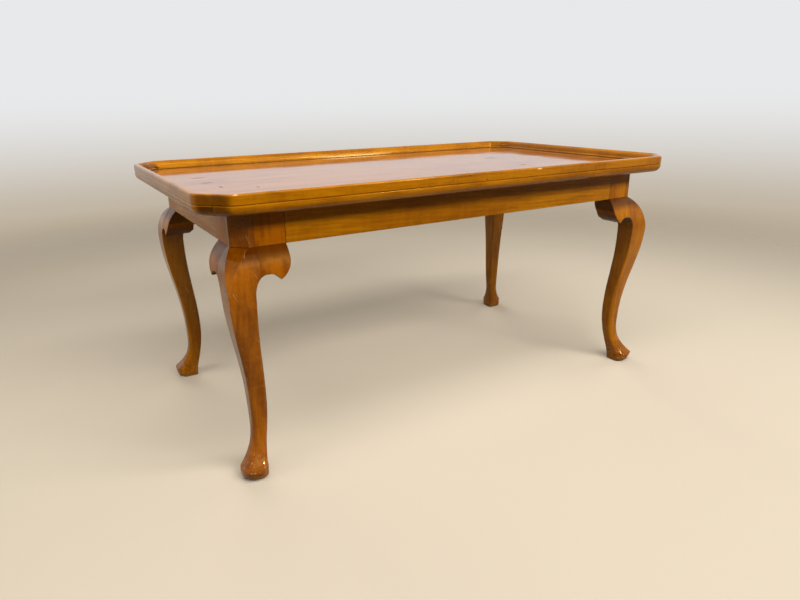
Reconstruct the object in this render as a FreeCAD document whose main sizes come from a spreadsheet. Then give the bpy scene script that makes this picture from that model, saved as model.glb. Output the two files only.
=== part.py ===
"""Tray-topped coffee table on four cabriole legs, in millimetres.

The origin is on the floor under the middle of the table, with X along the length, Y to the back and Z up.
A leg with its ears, dowels, corner block and screws is worked out once, at a corner of its own: a and b are
the distances inward from the post's two outer faces, along X and Y, and z is the height above the floor.
"""
import FreeCAD, Part
import Sketcher
import os
import re

Vector = FreeCAD.Vector
Rotation = FreeCAD.Rotation
ROOT_TWO = 2 ** 0.5
ON_DIAGONAL = 1
UP = Vector(0, 0, 1)

SIZES = {
    # whole table
    "length": 1050,
    "width": 600,
    "height": 500,
    # tray top
    "cant": 46,
    "cant_round": 28,
    "board_thickness": 17,
    "edge_round": 14,
    "quirk": 1.2,
    "rim_height": 17,
    "rim_width": 22,
    "rim_crest": 8,
    "rim_round": 3.2,
    "cove_sag": 2,
    "bead": 3.6,
    # frame under the tray
    "overhang_end": 56.5,
    "overhang_side": 53,
    "apron_height": 59,
    "apron_thickness": 20,
    "post_size": 34,
    "post_chamfer": 24,
    "ear_width": 52,
    "saw_past": 4,
    # outer line of the leg, as levels below the apron or above the floor and distances out of the post's face
    "brow_drop": 20,
    "brow_out": 15,
    "knee_drop": 57,
    "knee_out": 22.5,
    "ankle_rise": 97,
    "ankle_in": 4.8,
    "instep_rise": 39,
    "instep_out": 9.5,
    "toe_rise": 21.5,
    "toe_out": 22.5,
    # inner line of the leg, with distances behind the post's face
    "haunch_drop": 55,
    "haunch_in": 26.5,
    "shin_drop": 89,
    "shin_in": 22.5,
    "calf_rise": 125,
    "calf_in": 34.2,
    "heel_rise": 44,
    "heel_in": 25,
    "sole_in": 19,
    # foot, rounded in plan to a circle on the floor and to ovals along the diagonal up to the toe's level
    "sole_radius": 21,
    "sole_inset": 2.5,
    "bend_rise": 2.5,
    "bend_radius": 23,
    "belly_rise": 11,
    "belly_reach": 26.5,
    "belly_half_width": 24,
    "pad_reach": 29.5,
    "pad_half_width": 24.5,
    "pad_outset": 0.5,
    # ear beside the knee
    "ear_straight": 21,
    "ear_bulge": 4.5,
    "tip_drop": 53,
    "tip_inset": 20,
    "arch_drop": 42,
    "arch_offset": 9,
    # softened corners of the leg
    "facet_brow_out": 6.4,
    "facet_run": 34,
    "facet_past": 1.5,
    "arris_knee": 0.6,
    "arris_foot": 11,
    "inner_arris": 5,
    # corner blocks and fasteners
    "block_leg": 50,
    "block_height": 36,
    "dowel_diameter": 8,
    "dowel_length": 40,
    "dowel_edge": 16,
    "screw_diameter": 4.5,
    "screw_head": 9,
    "screw_countersink": 2.6,
    "screw_point": 6,
    "screw_slot": 1.2,
    "top_screw_length": 46,
    "top_screw_offset": 32,
    "top_screw_edge": 9,
    "block_screw_length": 60,
}

# heights, reaches and the frame's outside that follow from the sizes
BOARD_UNDER = "(height - rim_height - board_thickness)"
APRON_UNDER = "(height - rim_height - board_thickness - apron_height)"
ARM = "(post_size + ear_width)"
FRAME_LENGTH = "(length - 2 * overhang_end)"
FRAME_WIDTH = "(width - 2 * overhang_side)"

# each corner's side of the table along X and Y, and the turn that brings the leg's corner there
CORNERS = {
    "front_left": (-1, -1, 0),
    "front_right": (1, -1, 90),
    "back_right": (1, 1, 180),
    "back_left": (-1, 1, 270),
}

doc = FreeCAD.newDocument("coffee_table")
sheet = doc.addObject("Spreadsheet::Sheet", "sizes")
nodes = []


def fill_sheet():
    for row, (alias, value) in enumerate(SIZES.items(), start=1):
        sheet.set("A%d" % row, alias.replace("_", " "))
        sheet.set("B%d" % row, str(value))
        sheet.setAlias("B%d" % row, alias)
    doc.recompute()


def size(alias):
    return float(sheet.get(alias))


def tie(formula):
    """The formula as an expression in which every word is a cell of the sheet."""
    return re.sub(r"[a-z_]+", lambda word: "sizes." + word.group(), formula)


def bind(thing, **formulas):
    for path, formula in formulas.items():
        thing.setExpression(path.replace("__", "."), tie(formula))
    return thing


def move(thing, x="0", y="0", z="0"):
    return bind(thing, Placement__Base__x=x, Placement__Base__y=y, Placement__Base__z=z)


def turn(thing, axis, angle):
    thing.Placement.Rotation = Rotation(axis, angle)
    return thing


def node(thing, label):
    thing.Label = label
    nodes.append(thing)
    return thing


def add(kind, name, **values):
    thing = doc.addObject(kind, name)
    for key, value in values.items():
        setattr(thing, key, value)
    return thing


def box(name, lengths, corner):
    thing = bind(add("Part::Box", name), Length=lengths[0], Width=lengths[1], Height=lengths[2])
    return move(thing, *corner)


def extrusion(name, face, direction, ahead, behind="0"):
    base = add("Part::Feature", name + "_face", Shape=face)
    thing = add("Part::Extrusion", name, Base=base, DirMode="Custom", Dir=direction, Solid=True)
    return bind(thing, LengthFwd=ahead, LengthRev=behind)


def cut(name, base, tool):
    return add("Part::Cut", name, Base=base, Tool=tool)


def common(name, *things):
    return add("Part::MultiCommon", name, Shapes=list(things))


def together(name, *things):
    return add("Part::Compound", name, Links=list(things))


def at_corner(name, corner, *things):
    """A copy of things made at the leg's own corner, set at one corner of the frame."""
    side_x, side_y, angle = CORNERS[corner]
    group = turn(together(name, *things), UP, angle)
    return move(group, "%d * %s / 2" % (side_x, FRAME_LENGTH), "%d * %s / 2" % (side_y, FRAME_WIDTH))


def line(*points):
    return Part.makePolygon([Vector(*point) for point in points]).Edges


def arc(first, middle, last):
    return Part.Arc(Vector(*first), Vector(*middle), Vector(*last)).toShape()


def spline(*stops):
    """A smooth edge through the stops (point, direction), where a direction may be left as None."""
    curve = Part.BSplineCurve()
    curve.interpolate(
        Points=[Vector(*point) for point, _ in stops],
        Tangents=[Vector(*(direction or (0, 0, 1))) for _, direction in stops],
        TangentFlags=[direction is not None for _, direction in stops],
    )
    return curve.toShape()


def closed_face(edges):
    return Part.Face(Part.Wire(edges))


# Tray top

def board_outline(inset):
    """The tray's plan from the middle of its front: a rectangle whose corners are canted and softened."""
    half_x = size("length") / 2 - inset
    half_y = size("width") / 2 - inset
    cant = size("cant") - inset * (2 - ROOT_TWO)
    radius = size("cant_round") - inset
    tangent_run = radius * (ROOT_TWO - 1)
    arc_depth = radius * ((4 - 2 * ROOT_TWO) ** 0.5 - 1)
    flat_x = half_x - cant
    flat_y = half_y - cant
    right = [(flat_x, -half_y), (half_x, -flat_y), (half_x, flat_y), (flat_x, half_y)]
    bends = [Vector(x, y, 0) for x, y in right] + [Vector(-x, y, 0) for x, y in reversed(right)]
    front = here = Vector(0, -half_y, 0)
    edges = []
    for number, bend in enumerate(bends):
        back = (bends[number - 1] - bend).normalize()
        ahead = (bends[(number + 1) % len(bends)] - bend).normalize()
        arc_start = bend + back * tangent_run
        arc_end = bend + ahead * tangent_run
        edges += line(here, arc_start)
        edges.append(arc(arc_start, bend + (back + ahead).normalize() * arc_depth, arc_end))
        here = arc_end
    return Part.Wire(edges + line(here, front))


def on_front(inward, up):
    """A point of a moulding's section, which stands at the middle of the tray's front edge."""
    return (0, inward - size("width") / 2, up)


def edging_section():
    """Lower band: half of the quirk, an upright face and a quarter round under it."""
    width = size("rim_width")
    top = size("height") - size("rim_height")
    under = top - size("board_thickness")
    radius = size("edge_round")
    quirk = size("quirk")
    slant = radius * (1 - 1 / ROOT_TWO)
    round_start = on_front(0, under + radius)
    round_end = on_front(radius, under)
    flats = [(width, under), (width, top), (quirk, top), (0, top - quirk)]
    edges = line(round_end, *[on_front(*flat) for flat in flats], round_start)
    edges.append(arc(round_start, on_front(slant, under + slant), round_end))
    return Part.Wire(edges)


def rim_section():
    """Upper band: half of the quirk, an upright face, a soft crest, a cove and a bead on the tray floor."""
    width = size("rim_width")
    top = size("height")
    foot = top - size("rim_height")
    quirk = size("quirk")
    crest = size("rim_crest")
    soft = size("rim_round")
    bead = size("bead")
    soft_slant = soft * (1 - 1 / ROOT_TWO)
    bead_slant = bead * (1 - 1 / ROOT_TWO)
    cove_start = Vector(*on_front(crest, top))
    cove_end = Vector(*on_front(width - bead, foot + bead))
    chord = cove_end - cove_start
    into_wood = chord.cross(Vector(1, 0, 0)).normalize()
    cove_middle = (cove_start + cove_end) / 2 - into_wood * size("cove_sag")
    soft_start = on_front(0, top - soft)
    soft_end = on_front(soft, top)
    bead_end = on_front(width, foot)
    edges = line(bead_end, on_front(quirk, foot), on_front(0, foot + quirk), soft_start)
    edges.append(arc(soft_start, on_front(soft_slant, top - soft_slant), soft_end))
    edges += line(soft_end, cove_start)
    edges.append(arc(cove_start, cove_middle, cove_end))
    edges.append(arc(cove_end, on_front(width - bead_slant, foot + bead - bead_slant), bead_end))
    return Part.Wire(edges)


def moulding(name, section):
    """A closed moulding swept round the tray."""
    path = add("Part::Feature", name + "_path", Shape=board_outline(0))
    profile = add("Part::Feature", name + "_section", Shape=section)
    ring = add("Part::Sweep", name, Sections=[profile], Solid=True, Frenet=False)
    ring.Spine = (path, ["Edge%d" % (number + 1) for number in range(len(path.Shape.Edges))])
    return ring


def mitre_sector(name, along, across, angle):
    """The room of one side's lengths, between the mitres that halve the canted corners."""
    depth = "(cant + rim_width)"
    wedge = add("Part::Wedge", name)
    bind(wedge, Xmin="-%s / 2" % along, Xmax="%s / 2" % along, Zmin=BOARD_UNDER, Zmax="height")
    bind(wedge, X2min="-%s / 2 + %s" % (along, depth), X2max="%s / 2 - %s" % (along, depth))
    bind(wedge, Ymin="-%s / 2" % across, Ymax="-%s / 2 + %s" % (across, depth))
    bind(wedge, Z2min=BOARD_UNDER, Z2max="height")
    return turn(wedge, UP, angle)


def make_tray(top_screw_holes):
    board = closed_face(board_outline(size("rim_width")).Edges)
    blank = move(extrusion("panel_blank", board, UP, "board_thickness"), z=BOARD_UNDER)
    node(cut("panel", blank, top_screw_holes), "top_panel")
    edging = moulding("edging", edging_section())
    rim = moulding("rim", rim_section())
    sides = {
        "front": ("length", "width", 0),
        "right": ("width", "length", 90),
        "back": ("length", "width", 180),
        "left": ("width", "length", 270),
    }
    for side, (along, across, angle) in sides.items():
        sector = mitre_sector("sector_" + side, along, across, angle)
        node(common("edging_" + side, edging, sector), "edge_rail_" + side)
        node(common("rim_" + side, rim, sector), "rim_" + side)


# Legs and ears

def saw_outline():
    """The line sawn on both outer faces of the leg's blank, in (a, z), with the ear beside the knee."""
    under = size("height") - size("rim_height") - size("board_thickness")
    crease = under - size("apron_height")
    arm = size("post_size") + size("ear_width")
    plumb_down = (0, 0, -1)
    plumb_up = (0, 0, 1)
    level = (1, 0, 0)
    flare_end = (-size("toe_out") - size("toe_rise"), 0, 0)
    sole_back = (size("sole_in"), 0, 0)
    tip = (arm - size("tip_inset"), 0, crease - size("tip_drop"))
    ear_side = (arm, 0, crease - size("ear_straight"))
    ear_middle = (arm - size("ear_bulge"), 0, crease - (size("ear_straight") + size("tip_drop")) / 2)
    outer = spline(
        ((0, 0, crease), None),
        ((-size("brow_out"), 0, crease - size("brow_drop")), None),
        ((-size("knee_out"), 0, crease - size("knee_drop")), plumb_down),
        ((size("ankle_in"), 0, size("ankle_rise")), plumb_down),
        ((-size("instep_out"), 0, size("instep_rise")), None),
        ((-size("toe_out"), 0, size("toe_rise")), None),
        (flare_end, (-1, 0, -1)),
    )
    inner = spline(
        (sole_back, plumb_up),
        ((size("heel_in"), 0, size("heel_rise")), None),
        ((size("calf_in"), 0, size("calf_rise")), plumb_up),
        ((size("shin_in"), 0, crease - size("shin_drop")), plumb_up),
        ((size("haunch_in"), 0, crease - size("haunch_drop")), None),
        ((size("post_size") + size("arch_offset"), 0, crease - size("arch_drop")), level),
        (tip, None),
    )
    edges = line((0, 0, under), (0, 0, crease)) + [outer] + line(flare_end, sole_back) + [inner]
    edges.append(arc(tip, ear_middle, ear_side))
    return closed_face(edges + line(ear_side, (arm, 0, under), (0, 0, under)))


def facet_outline():
    """What is planed off the outer corner, on the diagonal: the post's chamfer, dying out on the knee."""
    under = size("height") - size("rim_height") - size("board_thickness")
    crease = under - size("apron_height")
    brow = crease - size("brow_drop")
    end = crease - size("knee_drop") - size("facet_run")
    halved = size("post_chamfer") / 2
    clear = size("post_size") + size("knee_out") + size("facet_past")
    past = size("facet_past")
    past_arris = size("knee_out") + past
    planed = spline(
        ((halved, halved, crease), None),
        ((-size("facet_brow_out"), -size("facet_brow_out"), brow), None),
        ((-past_arris, -past_arris, end), (-past, -past, -size("facet_run"))),
    )
    edges = line((halved, halved, under), (halved, halved, crease)) + [planed]
    edges += line((-past_arris, -past_arris, end), (-clear, -clear, end), (-clear, -clear, under))
    return closed_face(edges + line((-clear, -clear, under), (halved, halved, under)))


def soften_arrises(name, leg):
    """Rounds the leg's long arrises: crisp at the knee, fuller at the foot, and small on the inner corner."""
    doc.recompute()
    crease = size("height") - size("rim_height") - size("board_thickness") - size("apron_height")
    shin_middle = (size("shin_in") - size("ankle_in")) / 2
    rounds = []
    for number, edge in enumerate(leg.Shape.Edges, start=1):
        levels = [vertex.Z for vertex in edge.Vertexes]
        if max(levels) > crease or max(levels) - min(levels) < size("ankle_rise"):
            continue
        middle = edge.valueAt((edge.FirstParameter + edge.LastParameter) / 2)
        inner = abs(middle.x - middle.y) < ON_DIAGONAL and middle.x > shin_middle
        low, high = size("arris_foot"), size("arris_knee")
        if inner:
            low = high = size("inner_arris")
        rises = edge.valueAt(edge.LastParameter).z > edge.valueAt(edge.FirstParameter).z
        rounds.append((number, low, high) if rises else (number, high, low))
    return add("Part::Fillet", name, Base=leg, Edges=rounds)


def foot_oval(name, reach, half_width, inset, rise):
    """An oval round the foot at one level, with its long axis on the leg's diagonal."""
    oval = turn(add("Part::Ellipse", name), UP, 45)
    bind(oval, MajorRadius=reach, MinorRadius=half_width)
    return move(oval, inset, inset, rise)


def foot_room():
    """Room that the foot is rounded to: a turned underside up to the toe's rim, and open above it."""
    sole = foot_oval("foot_sole", "sole_radius", "sole_radius", "sole_inset", "0")
    bend = foot_oval("foot_bend", "bend_radius", "bend_radius", "sole_inset / 2", "bend_rise")
    belly = foot_oval("foot_belly", "belly_reach", "belly_half_width", "0", "belly_rise")
    pad = foot_oval("foot_pad", "pad_reach", "pad_half_width", "-pad_outset", "toe_rise")
    heel = foot_oval("foot_heel", ARM, ARM, "0", "heel_rise")
    top = foot_oval("foot_top", ARM, ARM, "0", BOARD_UNDER)
    below = add("Part::Loft", "foot_below", Sections=[sole, bend, belly, pad], Solid=True, Ruled=False)
    above = add("Part::Loft", "foot_above", Sections=[pad, heel, top], Solid=True, Ruled=True)
    return add("Part::MultiFuse", "foot_room", Shapes=[below, above])


def make_legs(long_dowels, short_dowels, block_screw_hole):
    past_blank = "(%s + saw_past)" % ARM
    sawn_face = extrusion("sawn_face", saw_outline(), Vector(0, 1, 0), past_blank, past_blank)
    sawn_side = add("Part::Mirroring", "sawn_side", Source=sawn_face, Normal=Vector(1, -1, 0))
    planing = extrusion("planing", facet_outline(), Vector(1, -1, 0), past_blank, past_blank)
    reach = "(%s + post_size)" % ARM
    shin_level = "(%s - shin_drop)" % APRON_UNDER
    upper = "(apron_height + shin_drop)"
    long_room = box("long_room", ("ear_width", reach, upper), ("post_size", "-" + ARM, shin_level))
    short_room = box("short_room", (reach, "ear_width", upper), ("-" + ARM, "post_size", shin_level))
    block_room = box("block_room", ("ear_width", "ear_width", upper), ("post_size", "post_size", shin_level))
    beside = add("Part::MultiFuse", "beside_stick", Shapes=[long_room, short_room, block_room])
    stick = cut("stick", common("sawn", sawn_face, sawn_side), beside)
    planed = cut("stick_planed", stick, planing)
    footed = common("leg_footed", soften_arrises("leg_softened", planed), foot_room())
    leg = cut("leg_drilled", footed, block_screw_hole)
    long_holes = together("ear_long_holes", long_dowels, block_screw_hole)
    short_holes = together("ear_short_holes", short_dowels, block_screw_hole)
    ear_long = cut("ear_long", common("ear_long_sawn", sawn_face, sawn_side, long_room), long_holes)
    ear_short = cut("ear_short", common("ear_short_sawn", sawn_face, sawn_side, short_room), short_holes)
    for corner in CORNERS:
        turned = CORNERS[corner][2] % 180 == 90
        along_x, along_y = (ear_short, ear_long) if turned else (ear_long, ear_short)
        node(at_corner("leg_at_" + corner, corner, leg), "leg_" + corner)
        node(at_corner("ear_x_at_" + corner, corner, along_x), "ear_%s_long" % corner)
        node(at_corner("ear_y_at_" + corner, corner, along_y), "ear_%s_short" % corner)


# Aprons, corner blocks and fasteners

def make_dowels():
    """Two dowels through each joint of ear and apron, at the leg's own corner."""
    levels = {"upper": BOARD_UNDER + " - dowel_edge", "lower": APRON_UNDER + " + dowel_edge"}
    start = ARM + " - dowel_length / 2"
    pairs = {"long": [], "short": []}
    for level, height in levels.items():
        for side, axis, angle in (("long", Vector(0, 1, 0), 90), ("short", Vector(1, 0, 0), -90)):
            dowel = add("Part::Cylinder", "dowel_%s_%s" % (side, level))
            bind(dowel, Radius="dowel_diameter / 2", Height="dowel_length")
            turn(dowel, axis, angle)
            along = (start, "apron_thickness / 2") if side == "long" else ("apron_thickness / 2", start)
            pairs[side].append(move(dowel, *along, height))
    return together("dowels_long", *pairs["long"]), together("dowels_short", *pairs["short"])


def make_screw(name, length):
    """A slotted countersunk wood screw pointing up, and the plain form of the hole that it fills."""
    head = bind(add("Part::Cone", name + "_head"), Radius1="screw_head / 2", Height="screw_countersink")
    bind(head, Radius2="screw_diameter / 2")
    shank = bind(add("Part::Cylinder", name + "_shank"), Radius="screw_diameter / 2")
    bind(move(shank, z="screw_countersink"), Height=length + " - screw_countersink - screw_point")
    point = bind(add("Part::Cone", name + "_point", Radius2=0), Radius1="screw_diameter / 2")
    bind(move(point, z=length + " - screw_point"), Height="screw_point")
    plain = add("Part::MultiFuse", name + "_plain", Shapes=[head, shank, point])
    slot = ("screw_head", "screw_slot", "screw_slot")
    return cut(name, plain, box(name + "_slot", slot, ("-screw_head / 2", "-screw_slot / 2", "0"))), plain


def make_corner_block():
    """A three-cornered glue block that fills the inside of the post and ears."""
    body = doc.addObject("PartDesign::Body", "corner_block")
    sketch = body.newObject("Sketcher::SketchObject", "corner_block_plan")
    ground = [plane for plane in body.Origin.OriginFeatures if plane.Role == "XY_Plane"][0]
    sketch.AttachmentSupport = [(ground, "")]
    sketch.MapMode = "FlatFace"
    leg = size("block_leg")
    corners = [Vector(0, 0, 0), Vector(leg, 0, 0), Vector(0, leg, 0)]
    for number, corner in enumerate(corners):
        sketch.addGeometry(Part.LineSegment(corner, corners[(number + 1) % len(corners)]))
    for number in range(len(corners)):
        sketch.addConstraint(Sketcher.Constraint("Coincident", number, 2, (number + 1) % len(corners), 1))
    sketch.addConstraint(Sketcher.Constraint("Coincident", 0, 1, -1, 1))
    sketch.addConstraint(Sketcher.Constraint("Horizontal", 0))
    sketch.addConstraint(Sketcher.Constraint("Vertical", 2))
    for number in (0, 2):
        constraint = sketch.addConstraint(Sketcher.Constraint("Distance", number, leg))
        sketch.setExpression("Constraints[%d]" % constraint, tie("block_leg"))
    pad = body.newObject("PartDesign::Pad", "corner_block_pad")
    pad.Profile = sketch
    bind(pad, Length="block_height")
    return move(body, "post_size", "post_size", BOARD_UNDER + " - block_height")


def make_aprons(dowels):
    span_x = "(%s - 2 * %s)" % (FRAME_LENGTH, ARM)
    span_y = "(%s - 2 * %s)" % (FRAME_WIDTH, ARM)
    long_size = (span_x, "apron_thickness", "apron_height")
    short_size = ("apron_thickness", span_y, "apron_height")
    long_start = "-%s / 2" % span_x
    short_start = "-%s / 2" % span_y
    places = {
        "front": (long_size, (long_start, "-%s / 2" % FRAME_WIDTH, APRON_UNDER)),
        "back": (long_size, (long_start, "%s / 2 - apron_thickness" % FRAME_WIDTH, APRON_UNDER)),
        "left": (short_size, ("-%s / 2" % FRAME_LENGTH, short_start, APRON_UNDER)),
        "right": (short_size, ("%s / 2 - apron_thickness" % FRAME_LENGTH, short_start, APRON_UNDER)),
    }
    for side, (lengths, corner) in places.items():
        node(cut("apron_" + side, box("apron_blank_" + side, lengths, corner), dowels), "apron_" + side)


def make_table():
    long_dowels, short_dowels = make_dowels()
    top_screw, top_screw_plain = make_screw("top_screw", "top_screw_length")
    block_screw, block_screw_plain = make_screw("block_screw", "block_screw_length")

    near, far = "post_size + top_screw_edge", "post_size + top_screw_offset"
    head_level = BOARD_UNDER + " - block_height"
    pairs = {}
    for kind, screw in (("screw", top_screw), ("hole", top_screw_plain)):
        first = move(together("top_%s_first" % kind, screw), far, near, head_level)
        second = move(together("top_%s_second" % kind, screw), near, far, head_level)
        pairs[kind] = together("top_%s_pair" % kind, first, second)

    block_middle = "post_size + block_leg / 2"
    block_level = BOARD_UNDER + " - block_height / 2"
    diagonal = {}
    for kind, screw in (("screw", block_screw), ("hole", block_screw_plain)):
        laid = turn(together("block_%s_laid" % kind, screw), Vector(1, -1, 0), 90)
        diagonal[kind] = move(laid, block_middle, block_middle, block_level)

    make_legs(long_dowels, short_dowels, diagonal["hole"])
    block_holes = together("block_holes", pairs["hole"], diagonal["hole"])
    block = cut("block_drilled", make_corner_block(), block_holes)
    dowel_groups = []
    screw_groups = []
    hole_groups = []
    block_screws = []
    for corner in CORNERS:
        node(at_corner("block_at_" + corner, corner, block), "corner_block_" + corner)
        dowel_groups.append(at_corner("dowels_at_" + corner, corner, long_dowels, short_dowels))
        screw_groups.append(at_corner("top_screws_at_" + corner, corner, pairs["screw"]))
        hole_groups.append(at_corner("top_holes_at_" + corner, corner, pairs["hole"]))
        block_screws.append(at_corner("block_screw_at_" + corner, corner, diagonal["screw"]))
    dowels = node(together("dowels", *dowel_groups), "apron_dowels")
    node(together("screws_up", *screw_groups), "top_screws")
    node(together("screws_across", *block_screws), "corner_block_screws")
    make_aprons(dowels)
    make_tray(together("top_holes", *hole_groups))


def check_document():
    doc.recompute()
    for thing in doc.Objects:
        if "Invalid" in thing.State or "Error" in thing.State:
            raise RuntimeError("%s is %s" % (thing.Label, thing.State))
    for thing in nodes:
        if thing.Shape.isNull() or not thing.Shape.isValid() or not thing.Shape.Solids:
            raise RuntimeError("%s has no sound solid" % thing.Label)


def write_parts():
    os.makedirs("parts", exist_ok=True)
    for thing in nodes:
        thing.Shape.exportStep("parts/%s.step" % thing.Label)


fill_sheet()
make_table()
check_document()
write_parts()
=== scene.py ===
"""Looks of the tray-topped coffee table: honey-brown lacquered wood, worn at its edges.

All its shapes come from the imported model. This script gives each node its material, and adds a plain
pale floor, a pale backdrop, the studio's lamps and the photograph's own camera.
"""
import math
import bpy
from mathutils import Matrix, Vector


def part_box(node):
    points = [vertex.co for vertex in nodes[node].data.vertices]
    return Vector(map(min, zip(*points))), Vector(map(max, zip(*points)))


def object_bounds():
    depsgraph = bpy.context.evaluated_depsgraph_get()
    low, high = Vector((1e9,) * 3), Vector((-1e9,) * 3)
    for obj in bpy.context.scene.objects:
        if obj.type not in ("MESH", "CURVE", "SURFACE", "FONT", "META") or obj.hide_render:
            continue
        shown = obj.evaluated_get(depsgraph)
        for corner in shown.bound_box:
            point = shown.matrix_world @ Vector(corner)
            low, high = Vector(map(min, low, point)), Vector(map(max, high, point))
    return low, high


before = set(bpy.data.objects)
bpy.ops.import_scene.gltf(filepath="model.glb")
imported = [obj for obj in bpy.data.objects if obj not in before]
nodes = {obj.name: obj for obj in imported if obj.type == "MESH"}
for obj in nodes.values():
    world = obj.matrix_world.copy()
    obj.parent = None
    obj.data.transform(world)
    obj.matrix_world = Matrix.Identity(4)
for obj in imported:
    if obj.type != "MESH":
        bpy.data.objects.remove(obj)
cad_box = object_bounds()

MM = 0.001
CORNERS = ("front_left", "front_right", "back_right", "back_left")
SIDES = ("front", "right", "back", "left")
AXES = {"x": 0, "y": 1, "z": 2}
UPWARD = (0.0, 0.0, 1.0)
OUTWARD = {
    "front": (0.0, -1.0, 0.0),
    "right": (1.0, 0.0, 0.0),
    "back": (0.0, 1.0, 0.0),
    "left": (-1.0, 0.0, 0.0),
}


# Colours

def tone(red, green, blue):
    """A colour written in the screen's 0 to 255, as the linear colour that nodes take."""
    parts = [value / 255 for value in (red, green, blue)]
    linear = [part / 12.92 if part <= 0.04045 else ((part + 0.055) / 1.055) ** 2.4 for part in parts]
    return (*linear, 1.0)


def wood_tones(pale, mid, dark, end):
    return {"pale": tone(*pale), "mid": tone(*mid), "dark": tone(*dark), "end": tone(*end)}


AMBER = wood_tones((180, 114, 2), (160, 96, 0), (120, 62, 0), (66, 26, 0))
RIM = wood_tones((172, 107, 0), (151, 89, 0), (112, 57, 0), (62, 24, 0))
CHESTNUT = wood_tones((164, 91, 0), (135, 68, 0), (88, 36, 0), (78, 33, 0))
HONEY = wood_tones((180, 110, 0), (156, 87, 0), (118, 58, 0), (74, 31, 0))
VENEER = wood_tones((190, 124, 58), (172, 106, 44), (124, 68, 24), (104, 58, 20))
BARE = wood_tones((214, 184, 140), (198, 162, 114), (172, 132, 86), (148, 110, 70))
LINE = tone(58, 22, 2)
RAW = tone(224, 188, 128)
SCUFF = tone(112, 44, 8)
# Floor wear and painted shade low on the feet.
FLOOR_WEAR_AND_SHADE = tone(118, 86, 38)
STAIN = tone(116, 54, 30)
SPOT = tone(84, 48, 34)
BRIGHT_STEEL = tone(188, 186, 180)
DULL_STEEL = tone(120, 108, 92)

AMBER_GLOSS = (1.0, 0.62, 0.14, 1.0)
HONEY_GLOSS = (1.0, 0.72, 0.3, 1.0)
VENEER_GLOSS = (1.0, 0.92, 0.85, 1.0)
CLEAR_GLOSS = (1.0, 1.0, 1.0, 1.0)

FLOOR_SEEN = tone(193, 181, 162)
FLOOR_BOUNCE = tone(76, 54, 32)
BACKDROP_LOW = tone(190, 177, 157)
BACKDROP_HIGH = tone(232, 233, 234)
BACKDROP_LIGHT = (0.06, 0.062, 0.065, 1.0)
LAMP_WHITE = (1.0, 0.98, 0.95)


# Patterns and measures

# Noise: its repeats in a metre, all ways or along each axis of the grain or the frame, its detail and
# its roughness.
PATTERNS = {
    "bend": ((2.2, 9.0, 9.0), 3.0, 0.55),
    "streaks": ((4.0, 130.0, 130.0), 4.0, 0.62),
    "flecks": ((170.0, 800.0, 800.0), 2.0, 0.5),
    "clouds": ((11.0, 24.0, 24.0), 3.0, 0.55),
    "ripple": ((190.0, 24.0, 24.0), 2.0, 0.5),
    "smears": ((14.0, 60.0, 60.0), 3.0, 0.6),
    "swell": (11.0, 1.0, 0.5),
    "worn": (95.0, 3.0, 0.6),
    "ragged": (330.0, 3.0, 0.65),
    "hairs": ((620.0, 34.0, 1.0), 1.0, 0.4),
    "hair_places": (22.0, 2.0, 0.5),
    "knocks": ((150.0, 150.0, 230.0), 4.0, 0.65),
    "nicks": ((330.0, 330.0, 210.0), 3.0, 0.6),
    "panel_scratches": ((5.0, 130.0, 1.0), 3.0, 0.5),
    "panel_places": (5.0, 2.0, 0.5),
    "panel_stains": ((6.0, 9.0, 1.0), 4.0, 0.6),
    "dull_steel": (420.0, 3.0, 0.6),
    "turned_steel": ((300.0, 300.0, 2400.0), 2.0, 0.5),
}

# The values of a pattern or a measure between which a detail comes in, and, where these aren't 0 and 1,
# the strengths that it comes from and to.
RANGES = {
    "late_wood": (0.25, 0.86),
    "ring_end": (1.0, 0.88),
    "pale_blend": (0.38, 0.62),
    "dark_flecks": (0.57, 0.74, 0.0, 0.5),
    "pale_flecks": (0.40, 0.28, 0.0, 0.25),
    "ripple": (0.45, 0.7),
    "facet": (0.35, 0.15, 0.4, 1.0),
    # The height over which the legs' end grain and painted shade come in.
    "knee": (150 * MM, 250 * MM, 0.3, 1.0),
    "line_gaps": (0.36, 0.56),
    "edge": (0.015, 0.09),
    "worn_edge": (0.47, 0.64),
    "off_seam": (1.5 * MM, 4.0 * MM),
    "patch": (1.5, 1.15),
    "hairs": (0.70, 0.76),
    "hair_places": (0.46, 0.58),
    "knocks": (0.50, 0.62, 0.0, 0.85),
    "nicks": (0.64, 0.70, 0.0, 0.8),
    "floor_wear_and_shade": (15 * MM, 10 * MM, 0.0, 0.7),
    "unfinished": (-0.5, -0.8),
    "bare_streaks": (0.35, 0.65),
    "smears": (0.3, 0.75),
    "panel_scratches": (0.60, 0.70, 0.0, 0.6),
    "panel_places": (0.42, 0.6),
    "panel_stains": (0.48, 0.68, 0.0, 0.5),
    "inner_face": (12 * MM, 16 * MM),
    "dull_steel": (0.4, 0.7),
    "steel_polish": (0.3, 0.7, 0.3, 0.55),
    "floor_fade": (0.9, 3.0),
    "horizon": (-0.18, 0.01),
}

# Growth of the wood: rings in a metre, and how far the pith leans and bends.
RINGS = 120.0
PITH_LEAN = 0.10
PITH_BEND = 0.06
MID_SHARE = 0.38

# Where pieces lie in the log: a step along it, then a middle, swing and turn across it and into it.
LOG_STEP = 0.37
LOG_ACROSS = (0.10, 0.05, 2.399)
LOG_DEPTH = (0.09, 0.05, 2.399 * 1.7)

# Lines: the width and strength of each kind, and the share of a line's width that is darkest.
BUTT_JOINT = (1.0 * MM, 0.85)
GLUE_JOINT = (0.9 * MM, 0.75)
CREASE = (1.0 * MM, 0.75)
PANEL_EDGE = (3.0 * MM, 0.85)
GROOVE = {"width": 1.1 * MM, "share": 0.32, "broken": 0.35}
MITRE_WIDTH = 0.8 * MM
LINE_CORE = 0.3

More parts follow.
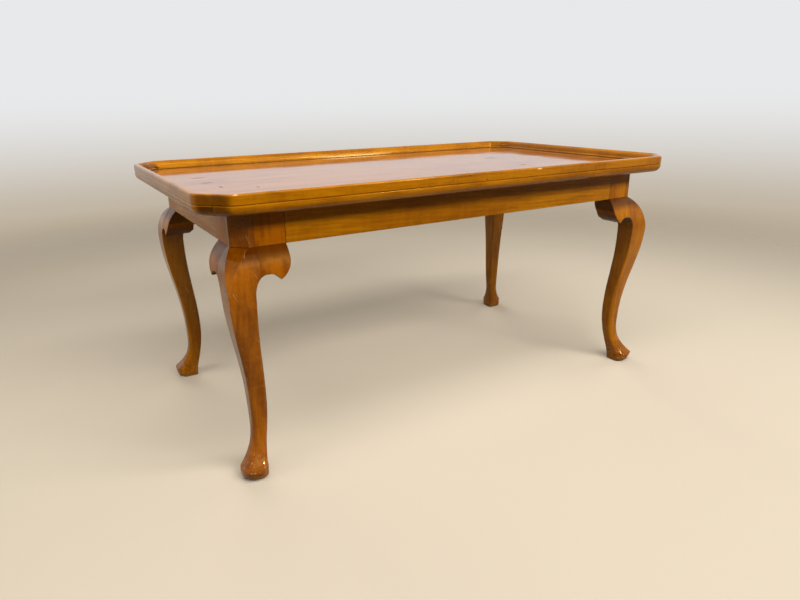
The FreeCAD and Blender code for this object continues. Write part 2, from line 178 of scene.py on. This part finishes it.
# Wear and lacquer.
WEAR_RADIUS = 1.6 * MM
WEAR_SAMPLES = 6
RAGGEDNESS = 1.3
HAIR_LEAN = 0.45
SCUFF_TOP = 65 * MM
SCUFF_CORE = 0.35
# How wavy the top of the feet's low band is; the band is floor wear and painted shade.
FOOT_BAND_WAVE = 9 * MM
RUB_DULLS = 0.4
SMEAR_POLISH = (0.75, 1.45)
SOFT_RADIUS = 1.0 * MM
SOFT_SAMPLES = 4
GRAIN_DEPTH = 0.4 * MM
STEEL_BUMP = (0.15, 0.1 * MM)
STREAK_HEIGHT = 0.5
FLECK_HEIGHT = -0.3

# Plan of the tray's canted corners, and the section of its rim above the groove.
PANEL_CANT = 33.1 * MM
RIM_CANT = 46 * MM
BEAD_RISE = 3.6 * MM
COVE_RISE = 2.5 * MM
COVE_SHADE = 0.4
# How far above the groove the rim's inner face starts to darken and is fully darker, and the strengths.
RIM_FOOT_DARK_RISE = (3.0 * MM, 1.2 * MM, 0.0, 0.6)

# How strongly each kind of piece shows its figure, and the lacquer on it. The ends are how far a face
# turns across the grain where it starts and stops to darken, and by how much; on legs and ears this
# darkening is end grain and painted shade.
FIGURES = {
    "panel": {"figure": 0.45, "ripple": 0.0, "mottle": 0.2, "squeeze": 0.3},
    "rim": {"figure": 0.15, "ends": (0.3, 0.75, 0.7), "ripple": 0.27},
    "long_edging": {"figure": 0.15, "ends": (0.3, 0.75, 0.8)},
    "short_edging": {"figure": 0.15, "ends": (0.3, 0.75, 0.98)},
    "apron": {"figure": 0.35, "squeeze": 0.6},
    "leg": {"figure": 0.14, "ends": (0.3, 0.6, 0.85), "mottle": 0.7, "squeeze": 0.7},
    "ear": {"figure": 0.1, "ends": (0.3, 0.6, 0.85), "mottle": 0.7},
    "bare": {"figure": 0.4},
}
LACQUERS = {
    "panel": {"gloss": 0.075, "grain": 0.03, "tint": VENEER_GLOSS, "wave": 0.5 * MM},
    "rim": {"gloss": 0.15, "index": 1.44},
    "dull_rim": {"gloss": 0.28, "index": 1.44},
    "edging": {"gloss": 0.16, "index": 1.33},
    "apron": {"gloss": 0.25, "index": 1.4},
    "leg": {"gloss": 0.14, "tint": HONEY_GLOSS, "index": 1.42},
    "ear": {"gloss": 0.32, "index": 1.4},
    "bare": {"gloss": 0.6, "grain": 0.3, "tint": CLEAR_GLOSS},
}
EDGE_WEAR = {"rim": 0.55, "edging": 0.3, "apron": 0.25, "leg": 0.4, "ear": 0.35, "bare": 0.2}
MITRES = {"rim": 0.35, "edging": 0.45}
MARKS = {"panel": 0.75, "rim": 0.85, "leg": 0.8}
SCRATCHES = 0.5

# Each kind's first place in the log. The pieces of a kind follow on from it.
LOG_PLACES = {"rim": 5, "edging": 11, "apron": 17, "leg": 23, "ear": 29, "block": 40, "dowels": 50}
PANEL_LOG = (0.4, 0.02, 0.05)

# Marks that the photograph shows: middle, reach along X, Y and Z, both in millimetres, and colour.
PANEL_MARKS = (
    ((-437, 68, 483), (22, 7, 9), SPOT),
    ((-441, -17, 483), (16, 6, 9), SPOT),
    ((-435, -85, 483), (4, 16, 9), SPOT),
    ((-381, -124, 483), (3, 13, 9), SPOT),
    ((266, 31, 483), (26, 6, 9), SPOT),
    ((230, -128, 483), (12, 6, 9), SPOT),
)
RIM_MARKS = {
    "front": (
        ((-474, -299, 499.5), (7, 3, 1.8), RAW),
        ((116, -300, 497), (8, 3, 1.6), RAW),
        ((-51, -300, 496), (3, 3, 2.4), LINE),
        ((-12, -300, 486), (3, 3, 1.6), LINE),
    ),
    "back": (
        ((18, 279, 485.8), (140, 6, 2.3), RAW),
        ((-462, 270, 487), (5, 5, 2), RAW),
        ((-474, 278, 487), (12, 8, 3), LINE),
        ((447, 271, 487), (9, 8, 2), RAW),
    ),
    "right": (((474, 247, 487), (7, 9, 2), RAW),),
    "left": (((-484, 268, 487), (8, 12, 3), LINE),),
}
LEG_MARKS = {
    "front_left": (((-479, -250, 316), (3, 6, 3), SCUFF), ((-452, -250, 303), (2, 6, 2), RAW)),
    "front_right": (((458, -250, 217), (3, 6, 4), SCUFF),),
}

# Studio: metres, degrees and, for the lens and the sensor, millimetres.
CAMERA_PLACE = (-0.7288, -1.1757, 0.6330)
CAMERA_YAW, CAMERA_PITCH, CAMERA_ROLL = 31.154, -18.508, -0.63
CAMERA_LENS, CAMERA_SENSOR, CAMERA_REACH = 27.545, 36.0, 50.0
FLOOR_RADIUS, FLOOR_RINGS, FLOOR_STEPS = 5.0, 12, 64
OPEN_LAMP, GRID_LAMP = 180, 80
MIDDLE, BACK, FRONT = (0.0, 0.0, 0.35), (0.0, 0.0, 0.4), (0.0, -0.3, 0.4)
LEFT_END, RIGHT_END = (-0.4, 0.0, 0.4), (0.4, 0.0, 0.4)

# Each lamp's name, place, aim, width and height, watts, and what sets it apart from an open softbox.
LAMPS = (
    ("key", (0.2, -2.75, 2.2), MIDDLE, (3.2, 0.6), 108.0, {"glints": False}),
    ("sheen", (1.1, -2.7, 2.05), MIDDLE, (3.2, 0.9), 12.0, {}),
    ("window", (1.5, -2.6, 2.0), MIDDLE, (0.25, 0.18), 50.0, {"fills": False}),
    ("tube", (-0.2, -0.9, 2.5), FRONT, (3.2, 0.3), 42.0, {}),
    ("left", (-2.6, 0.2, 1.3), LEFT_END, (1.6, 1.0), 5.0, {"glints": False, "grid": GRID_LAMP}),
    ("right", (2.6, 0.3, 1.3), RIGHT_END, (1.6, 1.0), 5.0, {"glints": False, "grid": GRID_LAMP}),
    ("back", (0.2, 2.8, 1.7), BACK, (2.6, 0.8), 14.0, {"glints": False, "grid": GRID_LAMP}),
)


# Nodes

class Graph:
    """Short calls for the nodes of a material or a world. Nearly every call gives back a socket."""

    MIX_INPUTS = (0, 6, 7)
    MIX_COLOUR = 2

    def __init__(self, owner):
        owner.use_nodes = True
        self.owner = owner
        self.tree = owner.node_tree
        self.tree.nodes.clear()

    def node(self, kind, inputs=(), **settings):
        made = self.tree.nodes.new(kind)
        for key, value in settings.items():
            setattr(made, key, value)
        pairs = inputs.items() if isinstance(inputs, dict) else enumerate(inputs)
        for key, value in pairs:
            self.feed(made.inputs[key], value)
        return made

    def feed(self, socket, value):
        if isinstance(value, bpy.types.NodeSocket):
            self.tree.links.new(value, socket)
        elif value is not None:
            socket.default_value = value

    def math(self, operation, first, second=None, clamp=False):
        made = self.node("ShaderNodeMath", (first, second), operation=operation, use_clamp=clamp)
        return made.outputs[0]

    def vector(self, operation, first, second=None):
        made = self.node("ShaderNodeVectorMath", (first, second), operation=operation)
        return made.outputs["Value" if operation in ("DOT_PRODUCT", "LENGTH") else "Vector"]

    def split(self, vector):
        return self.node("ShaderNodeSeparateXYZ", (vector,)).outputs

    def join(self, x, y, z):
        return self.node("ShaderNodeCombineXYZ", (x, y, z)).outputs[0]

    def noise(self, vector, pattern):
        scale, detail, rough = PATTERNS[pattern]
        if isinstance(scale, tuple):
            vector, scale = self.vector("MULTIPLY", vector, scale), 1.0
        inputs = {"Vector": vector, "Scale": scale, "Detail": detail, "Roughness": rough}
        return self.node("ShaderNodeTexNoise", inputs).outputs[0]

    def spread(self, value, low, high, out_low=0.0, out_high=1.0, smooth=True):
        inputs = {
            "Value": value,
            "From Min": low,
            "From Max": high,
            "To Min": out_low,
            "To Max": out_high,
        }
        kind = "SMOOTHSTEP" if smooth else "LINEAR"
        return self.node("ShaderNodeMapRange", inputs, interpolation_type=kind).outputs[0]

    def mix(self, share, first, second):
        made = self.node("ShaderNodeMix", data_type="RGBA", clamp_factor=True)
        for number, value in zip(self.MIX_INPUTS, (share, first, second)):
            self.feed(made.inputs[number], value)
        return made.outputs[self.MIX_COLOUR]

    def bump(self, strength, distance, height, normal=None):
        inputs = {"Strength": strength, "Distance": distance, "Height": height, "Normal": normal}
        return self.node("ShaderNodeBump", inputs).outputs[0]

    def finish(self, inputs):
        shader = self.node("ShaderNodeBsdfPrincipled", inputs)
        self.node("ShaderNodeOutputMaterial", {"Surface": shader.outputs[0]})
        return self.owner


class Wood(Graph):
    """One piece of wood: its figure, then the lines, wear and marks of its place on the table."""

    def __init__(self, name, axis, shift, colours, figure, ends=(0.35, 0.85, 0.55), ripple=0.18,
                 mottle=0.58, squeeze=1.0):
        super().__init__(bpy.data.materials.new(name))
        self.colours = colours
        self.place = self.node("ShaderNodeTexCoord").outputs["Object"]
        self.xyz = self.split(self.place)
        x, y, z = self.xyz
        along, across, depth = {"x": (x, y, z), "y": (y, x, z), "z": (z, x, y)}[axis]
        piece = self.join(self.math("MULTIPLY", along, squeeze), across, depth)
        self.log = self.vector("ADD", piece, shift)
        self.surface = self.node("ShaderNodeNewGeometry").outputs
        self.worn = self.noise(self.place, "worn")
        self.rub = None
        self.grow(figure, ripple, mottle)
        self.end_grain_and_shade(axis, *ends)

    def grow(self, figure, ripple_share, mottle):
        """Rings round a leaning pith, streaks, short flecks, a ripple across the grain and clouds."""
        bend = self.noise(self.log, "bend")
        along, across, depth = self.split(self.log)
        reach = self.math("SQRT", self.math("ADD", self.math("MULTIPLY", across, across),
                                            self.math("MULTIPLY", depth, depth)))
        radius = self.math("ADD", self.math("ADD", reach, self.math("MULTIPLY", along, PITH_LEAN)),
                           self.math("MULTIPLY", bend, PITH_BEND))
        rings = self.math("FRACT", self.math("MULTIPLY", radius, RINGS))
        late = self.math("MULTIPLY", self.spread(rings, *RANGES["late_wood"]),
                         self.spread(rings, *RANGES["ring_end"]))
        self.streaks = self.noise(self.log, "streaks")
        self.flecks = self.noise(self.log, "flecks")
        clouds = self.noise(self.log, "clouds")
        ripple = self.noise(self.log, "ripple")
        pale, mid, dark = (self.colours[key] for key in ("pale", "mid", "dark"))
        blend = self.math("ADD", self.math("MULTIPLY", self.streaks, 1.0 - mottle),
                          self.math("MULTIPLY", clouds, mottle))
        colour = self.mix(self.spread(blend, *RANGES["pale_blend"]), dark, pale)
        colour = self.mix(MID_SHARE, colour, mid)
        colour = self.mix(self.math("MULTIPLY", late, figure), colour, dark)
        colour = self.mix(self.spread(self.flecks, *RANGES["dark_flecks"]), colour, dark)
        colour = self.mix(self.spread(self.flecks, *RANGES["pale_flecks"]), colour, pale)
        self.colour = self.mix(self.spread(ripple, *RANGES["ripple"], 0.0, ripple_share), colour, pale)

    def end_grain_and_shade(self, axis, low, high, share):
        """Darker where a face cuts across the grain: end grain. On legs and ears it is also painted
        shade, strongest on the upward faces of the upper leg and weaker on the facet and lower down.
        """
        fibre = [0.0, 0.0, 0.0]
        fibre[AXES[axis]] = 1.0
        normal = self.surface["Normal"]
        facing = self.math("ABSOLUTE", self.vector("DOT_PRODUCT", normal, tuple(fibre)))
        strength = self.spread(facing, low, high, 0.0, share)
        # Painted shade along with end grain: on legs and ears the darkening is kept to the upper leg
        # and off the facet.
        if axis == "z":
            sideways = [self.math("ABSOLUTE", part) for part in self.split(normal)[:2]]
            facet = self.spread(self.math("MINIMUM", *sideways), *RANGES["facet"])
            knee = self.spread(self.xyz[2], *RANGES["knee"])
            strength = self.math("MULTIPLY", strength, self.math("MULTIPLY", facet, knee))
        self.colour = self.mix(strength, self.colour, self.colours["end"])

    def offset(self, axis, level):
        """How far a point is from a plane across an axis."""
        return self.math("ABSOLUTE", self.math("SUBTRACT", self.xyz[AXES[axis]], level))

    def line(self, offset, width, share, broken=0.0, above=None):
        """A dark line where the offset is nought, faint in places, at any height or above one."""
        strength = self.spread(offset, width, width * LINE_CORE, 0.0, share)
        if broken:
            gaps = self.spread(self.worn, *RANGES["line_gaps"], 1.0 - broken, 1.0)
            strength = self.math("MULTIPLY", strength, gaps)
        if above is not None:
            higher = self.math("GREATER_THAN", self.xyz[2], above)
            strength = self.math("MULTIPLY", strength, higher)
        self.colour = self.mix(strength, self.colour, LINE)

    def seams(self, joints, above=None):
        for axis, level, width, share in joints:
            self.line(self.offset(axis, level), width, share, above=above)

    def inset(self, half_x, half_y, cant):
        """How far a point is inside a rectangle in plan whose corners are canted."""
        x, y, _ = self.xyz
        in_x = self.math("SUBTRACT", half_x, self.math("ABSOLUTE", x))
        in_y = self.math("SUBTRACT", half_y, self.math("ABSOLUTE", y))
        in_both = self.math("SUBTRACT", self.math("ADD", in_x, in_y), cant)
        in_cant = self.math("MULTIPLY", in_both, math.sqrt(0.5))
        return self.math("MINIMUM", self.math("MINIMUM", in_x, in_y), in_cant)

    def mitres(self, level, share):
        """A line across the middle of each canted corner."""
        x, y, _ = self.xyz
        across = self.math("SUBTRACT", self.math("ABSOLUTE", x), self.math("ABSOLUTE", y))
        away = self.math("ABSOLUTE", self.math("SUBTRACT", across, level))
        self.line(away, MITRE_WIDTH, share)

    def dull(self, patch):
        """Takes the shine off a patch."""
        self.rub = patch if self.rub is None else self.math("MAXIMUM", self.rub, patch)

    def edge_wear(self, share, keep_off=()):
        """Edges rubbed through the lacquer, as far as a softened normal leaves the true one."""
        soft = self.node("ShaderNodeBevel", {"Radius": WEAR_RADIUS}, samples=WEAR_SAMPLES).outputs[0]
        turned = self.vector("DOT_PRODUCT", soft, self.surface["True Normal"])
        edge = self.math("SUBTRACT", 1.0, turned)
        rub = self.math("MULTIPLY", self.spread(edge, *RANGES["edge"]),
                        self.spread(self.worn, *RANGES["worn_edge"]))
        for axis, level, *_ in keep_off:
            clear = self.spread(self.offset(axis, level), *RANGES["off_seam"])
            rub = self.math("MULTIPLY", rub, clear)
        self.dull(rub)
        self.colour = self.mix(self.math("MULTIPLY", rub, share), self.colour, RAW)

    def mark(self, middle, reach, colour, share):
        """A chip, a spot or a worn strip: a rough-edged, dull patch round a point."""
        away = self.vector("SUBTRACT", self.place, tuple(value * MM for value in middle))
        scaled = self.vector("MULTIPLY", away, tuple(1 / (value * MM) for value in reach))
        rough = self.math("MULTIPLY", self.noise(self.place, "ragged"), RAGGEDNESS)
        ragged = self.math("ADD", self.vector("LENGTH", scaled), rough)
        patch = self.spread(ragged, *RANGES["patch"])
        self.colour = self.mix(self.math("MULTIPLY", patch, share), self.colour, colour)
        self.dull(patch)

    def scratches(self, share):
        """Fine pale hairlines that lean across the grain, here and there."""
        x, y, z = self.xyz
        lean = self.math("ADD", self.math("SUBTRACT", x, y), self.math("MULTIPLY", z, HAIR_LEAN))
        hairs = self.noise(self.join(lean, z, 0.0), "hairs")
        places = self.noise(self.place, "hair_places")
        strength = self.math("MULTIPLY", self.spread(hairs, *RANGES["hairs"], 0.0, share),
                             self.spread(places, *RANGES["hair_places"]))
        self.colour = self.mix(strength, self.colour, RAW)

    def scuffs_and_foot_shade(self, top):
        """Knocks and nicks on a foot that thin out upward, and a darker greyish band at the floor:
        rubbed wood and painted shade under the foot's rim.
        """
        z = self.xyz[2]
        low = self.spread(z, top, top * SCUFF_CORE)
        for pattern, colour in (("knocks", SCUFF), ("nicks", RAW)):
            strength = self.spread(self.noise(self.place, pattern), *RANGES[pattern])
            self.colour = self.mix(self.math("MULTIPLY", strength, low), self.colour, colour)
        # Floor wear and painted shade: a darker band low on the foot, below its rim.
        wavy = self.math("ADD", z, self.math("MULTIPLY", self.worn, FOOT_BAND_WAVE))
        self.colour = self.mix(self.spread(wavy, *RANGES["floor_wear_and_shade"]), self.colour, FLOOR_WEAR_AND_SHADE)

    def unfinished(self, outward):
        """Bare, dull wood on the faces that turn away from a direction, where the lacquer stops."""
        facing = self.vector("DOT_PRODUCT", self.surface["Normal"], outward)
        bare = self.spread(facing, *RANGES["unfinished"])
        streaks = self.spread(self.streaks, *RANGES["bare_streaks"])
        wood = self.mix(streaks, BARE["dark"], BARE["mid"])
        self.colour = self.mix(bare, self.colour, wood)
        self.dull(bare)

    def done(self, gloss, grain=0.10, tint=AMBER_GLOSS, index=1.5, wave=0.0):
        """The lacquer: its smears, the grain it sinks into and, on a broad board, a slow wave."""
        smears = self.noise(self.log, "smears")
        ends = (gloss * share for share in SMEAR_POLISH)
        polish = self.spread(smears, *RANGES["smears"], *ends, smooth=False)
        if self.rub is not None:
            polish = self.math("ADD", polish, self.math("MULTIPLY", self.rub, RUB_DULLS))
        height = self.math("ADD", self.math("MULTIPLY", self.streaks, STREAK_HEIGHT),
                           self.math("MULTIPLY", self.flecks, FLECK_HEIGHT))
        normal = self.node("ShaderNodeBevel", {"Radius": SOFT_RADIUS}, samples=SOFT_SAMPLES).outputs[0]
        if wave:
            normal = self.bump(1.0, wave, self.noise(self.place, "swell"), normal)
        return self.finish({
            "Base Color": self.colour,
            "Roughness": polish,
            "Normal": self.bump(grain, GRAIN_DEPTH, height, normal),
            "IOR": index,
            "Specular Tint": tint,
        })


# The table

def steel(name):
    graph = Graph(bpy.data.materials.new(name))
    place = graph.node("ShaderNodeTexCoord").outputs["Object"]
    dull = graph.noise(place, "dull_steel")
    turned = graph.noise(place, "turned_steel")
    colour = graph.mix(graph.spread(dull, *RANGES["dull_steel"]), BRIGHT_STEEL, DULL_STEEL)
    return graph.finish({
        "Base Color": colour,
        "Metallic": 1.0,
        "Roughness": graph.spread(dull, *RANGES["steel_polish"]),
        "Normal": graph.bump(*STEEL_BUMP, turned),
    })


def dress(node, material):
    slots = nodes[node].data.materials
    slots.clear()
    slots.append(material)


def log_shift(kind, number=0):
    """A piece's place in the log: near its outside, so that the rings run nearly flat."""
    steps = LOG_PLACES[kind] + number
    middle, swing, turn = LOG_ACROSS
    across = middle + swing * math.sin(turn * steps)
    middle, swing, turn = LOG_DEPTH
    depth = middle + swing * math.cos(turn * steps)
    return (LOG_STEP * steps, across, depth)


def grain_of(side):
    return "x" if side in ("front", "back") else "y"


def dress_panel():
    panel = Wood("panel_wood", "x", PANEL_LOG, VENEER, **FIGURES["panel"])
    _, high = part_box("top_panel")
    panel.line(panel.inset(high[0], high[1], PANEL_CANT), *PANEL_EDGE)
    scratches = panel.spread(panel.noise(panel.place, "panel_scratches"), *RANGES["panel_scratches"])
    places = panel.spread(panel.noise(panel.place, "panel_places"), *RANGES["panel_places"])
    panel.colour = panel.mix(panel.math("MULTIPLY", scratches, places), panel.colour, LINE)
    stains = panel.spread(panel.noise(panel.place, "panel_stains"), *RANGES["panel_stains"])
    panel.colour = panel.mix(stains, panel.colour, STAIN)
    for mark in PANEL_MARKS:
        panel.mark(*mark, MARKS["panel"])
    panel.unfinished(UPWARD)
    dress("top_panel", panel.done(**LACQUERS["panel"]))


def dress_rim(number, side, groove_level, mitre_level):
    _, high = cad_box
    axis = grain_of(side)
    bead_level = groove_level + BEAD_RISE
    colours = RIM if side == "front" else AMBER
    rim = Wood("rim_wood_" + side, axis, log_shift("rim", number), colours, **FIGURES["rim"])
    rim.mitres(mitre_level, MITRES["rim"])
    rim.line(rim.offset("z", groove_level), **GROOVE)
    inner = rim.spread(rim.inset(high[0], high[1], RIM_CANT), *RANGES["inner_face"])
    shade = COVE_SHADE if axis == "y" else 0.0
    cove = rim.spread(rim.xyz[2], bead_level, bead_level + COVE_RISE, 0.0, shade)
    rim.colour = rim.mix(rim.math("MULTIPLY", cove, inner), rim.colour, CHESTNUT["dark"])
    # Darker at the foot of the rim's inner face, next to the panel.
    rim_foot_dark_top, rim_foot_dark_bottom, *strengths = RIM_FOOT_DARK_RISE
    rim_foot_dark = rim.spread(rim.xyz[2], groove_level + rim_foot_dark_top, groove_level + rim_foot_dark_bottom, *strengths)
    rim.colour = rim.mix(rim.math("MULTIPLY", rim_foot_dark, inner), rim.colour, LINE)
    rim.edge_wear(EDGE_WEAR["rim"], keep_off=(("z", groove_level), ("z", bead_level)))
    for mark in RIM_MARKS[side]:
        rim.mark(*mark, MARKS["rim"])
    dress("rim_" + side, rim.done(**LACQUERS["dull_rim" if side == "back" else "rim"]))


def dress_edging(number, side, groove_level, mitre_level):
    axis = grain_of(side)
    figure = FIGURES["long_edging" if axis == "x" else "short_edging"]
    edging = Wood("edging_wood_" + side, axis, log_shift("edging", number), AMBER, **figure)
    edging.mitres(mitre_level, MITRES["edging"])
    edging.line(edging.offset("z", groove_level), **GROOVE)
    edging.edge_wear(EDGE_WEAR["edging"], keep_off=(("z", groove_level),))
    dress("edge_rail_" + side, edging.done(**LACQUERS["edging"]))


def dress_tray_edge():
    _, high = cad_box
    mitre_level = high[0] - high[1]
    groove_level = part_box("rim_front")[0][2]
    for number, side in enumerate(SIDES):
        dress_rim(number, side, groove_level, mitre_level)
        dress_edging(number, side, groove_level, mitre_level)


def dress_aprons():
    for number, side in enumerate(SIDES):
        axis = grain_of(side)
        joints = [(axis, end[AXES[axis]], *BUTT_JOINT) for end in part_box("apron_" + side)]
        shift = log_shift("apron", number)
        apron = Wood("apron_wood_" + side, axis, shift, AMBER, **FIGURES["apron"])
        apron.seams(joints)
        apron.edge_wear(EDGE_WEAR["apron"], keep_off=joints)
        apron.unfinished(OUTWARD[side])
        dress("apron_" + side, apron.done(**LACQUERS["apron"]))


def dress_leg(number, corner, colours, crease):
    low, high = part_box("leg_" + corner)
    inner_x, inner_y = (high[n] if high[n] < 0 else low[n] for n in (0, 1))
    glue = [("x", inner_x, *GLUE_JOINT), ("y", inner_y, *GLUE_JOINT), crease]
    leg = Wood("leg_wood_" + corner, "z", log_shift("leg", number), colours, **FIGURES["leg"])
    leg.seams(glue, above=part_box("ear_%s_long" % corner)[0][2])
    leg.edge_wear(EDGE_WEAR["leg"], keep_off=glue)
    leg.scratches(SCRATCHES)
    leg.scuffs_and_foot_shade(SCUFF_TOP)
    for mark in LEG_MARKS.get(corner, ()):
        leg.mark(*mark, MARKS["leg"])
    dress("leg_" + corner, leg.done(**LACQUERS["leg"]))


def dress_ears(number, corner, colours, crease):
    for turn, (run, axis) in enumerate((("long", "x"), ("short", "y"))):
        name = "ear_%s_%s" % (corner, run)
        apron_end, post_end = sorted((end[AXES[axis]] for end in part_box(name)), key=abs)
        joints = [(axis, apron_end, *BUTT_JOINT), (axis, post_end, *GLUE_JOINT), crease]
        ear = Wood(name + "_wood", "z", log_shift("ear", number * 2 + turn), colours, **FIGURES["ear"])
        ear.seams(joints)
        ear.edge_wear(EDGE_WEAR["ear"], keep_off=joints)
        dress(name, ear.done(**LACQUERS["ear"]))


def dress_corners():
    crease = ("z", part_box("apron_front")[0][2], *CREASE)
    for number, corner in enumerate(CORNERS):
        colours = CHESTNUT if corner == "front_left" else HONEY
        dress_leg(number, corner, colours, crease)
        dress_ears(number, corner, colours, crease)
        block = Wood("block_wood_" + corner, "z", log_shift("block", number), BARE, **FIGURES["bare"])
        block.edge_wear(EDGE_WEAR["bare"])
        dress("corner_block_" + corner, block.done(**LACQUERS["bare"]))


def dress_fixings():
    dowels = Wood("dowel_wood", "x", log_shift("dowels"), BARE, **FIGURES["bare"])
    dress("apron_dowels", dowels.done(**LACQUERS["bare"]))
    screw_steel = steel("screw_steel")
    dress("top_screws", screw_steel)
    dress("corner_block_screws", screw_steel)


# Studio

def seen_directly(graph):
    """One for what the camera sees, straight or in a gloss, and nought for light that only bounces."""
    path = graph.node("ShaderNodeLightPath").outputs
    seen = graph.math("ADD", path["Is Camera Ray"], path["Is Glossy Ray"], clamp=True)
    return graph.math("ADD", seen, path["Is Transmission Ray"], clamp=True)


def floor_mesh():
    """A disc of rings round the frame's origin."""
    verts = [(0.0, 0.0, 0.0)]
    for ring in range(1, FLOOR_RINGS + 1):
        reach = FLOOR_RADIUS * ring / FLOOR_RINGS
        for step in range(FLOOR_STEPS):
            angle = 2 * math.pi * step / FLOOR_STEPS
            verts.append((reach * math.cos(angle), reach * math.sin(angle), 0.0))
    faces = [(0, 1 + step, 1 + (step + 1) % FLOOR_STEPS) for step in range(FLOOR_STEPS)]
    for ring in range(FLOOR_RINGS - 1):
        start, after = 1 + ring * FLOOR_STEPS, 1 + (ring + 1) * FLOOR_STEPS
        for step in range(FLOOR_STEPS):
            ahead = (step + 1) % FLOOR_STEPS
            faces.append((start + step, after + step, after + ahead, start + ahead))
    mesh = bpy.data.meshes.new("floor")
    mesh.from_pydata(verts, [], faces)
    return mesh


def floor():
    """A plain pale floor that fades into the backdrop, and is clear when seen from beneath."""
    mesh = floor_mesh()
    made = bpy.data.objects.new("floor", mesh)
    bpy.context.scene.collection.objects.link(made)
    graph = Graph(bpy.data.materials.new("floor_paint"))
    place = graph.node("ShaderNodeTexCoord").outputs["Object"]
    colour = graph.mix(seen_directly(graph), FLOOR_BOUNCE, FLOOR_SEEN)
    paint = graph.node("ShaderNodeBsdfPrincipled",
                       {"Base Color": colour, "Roughness": 0.85, "IOR": 1.3})
    clear = graph.node("ShaderNodeBsdfTransparent")
    fade = graph.spread(graph.vector("LENGTH", place), *RANGES["floor_fade"])
    beneath = graph.node("ShaderNodeNewGeometry").outputs["Backfacing"]
    gone = graph.math("MAXIMUM", fade, beneath)
    both = graph.node("ShaderNodeMixShader", (gone, paint.outputs[0], clear.outputs[0]))
    graph.node("ShaderNodeOutputMaterial", {"Surface": both.outputs[0]})
    mesh.materials.append(graph.owner)


def backdrop():
    """A pale surround, seen at its own colour and lighting the table softly."""
    graph = Graph(bpy.data.worlds.new("backdrop"))
    upward = graph.split(graph.node("ShaderNodeTexCoord").outputs["Generated"])[2]
    seen = graph.mix(graph.spread(upward, *RANGES["horizon"]), BACKDROP_LOW, BACKDROP_HIGH)
    colour = graph.mix(seen_directly(graph), BACKDROP_LIGHT, seen)
    pale = graph.node("ShaderNodeBackground", {"Color": colour, "Strength": 1.0})
    graph.node("ShaderNodeOutputWorld", {"Surface": pale.outputs[0]})
    bpy.context.scene.world = graph.owner


def softbox(name, place, aim, size, power, glints=True, fills=True, grid=OPEN_LAMP):
    """A lamp that shows in the lacquer as a glint, fills the scene with light, or both."""
    data = bpy.data.lights.new(name, "AREA")
    data.shape = "RECTANGLE"
    data.size, data.size_y = size
    data.energy = power
    data.color = LAMP_WHITE
    data.spread = math.radians(grid)
    made = bpy.data.objects.new(name, data)
    made.visible_glossy = glints
    made.visible_diffuse = fills
    made.location = place
    made.rotation_euler = (Vector(aim) - Vector(place)).to_track_quat("-Z", "Y").to_euler()
    bpy.context.scene.collection.objects.link(made)


def camera():
    """The photograph's own viewpoint and lens."""
    yaw, pitch, roll = (math.radians(angle) for angle in (CAMERA_YAW, CAMERA_PITCH, CAMERA_ROLL))
    ahead = Vector((math.sin(yaw) * math.cos(pitch), math.cos(yaw) * math.cos(pitch), math.sin(pitch)))
    level = Vector((math.cos(yaw), -math.sin(yaw), 0.0))
    upright = level.cross(ahead)
    right = math.cos(roll) * level + math.sin(roll) * upright
    up = -math.sin(roll) * level + math.cos(roll) * upright
    data = bpy.data.cameras.new("camera")
    data.sensor_width = CAMERA_SENSOR
    data.lens = CAMERA_LENS
    data.clip_end = CAMERA_REACH
    made = bpy.data.objects.new("camera", data)
    turned = Matrix((right, up, -ahead)).transposed().to_4x4()
    made.matrix_world = Matrix.Translation(CAMERA_PLACE) @ turned
    bpy.context.scene.collection.objects.link(made)
    bpy.context.scene.camera = made


def studio():
    floor()
    backdrop()
    for name, place, aim, size, power, settings in LAMPS:
        softbox(name, place, aim, size, power, **settings)
    bpy.context.scene.view_settings.view_transform = "Standard"


dress_panel()
dress_tray_edge()
dress_aprons()
dress_corners()
dress_fixings()
camera()
studio()
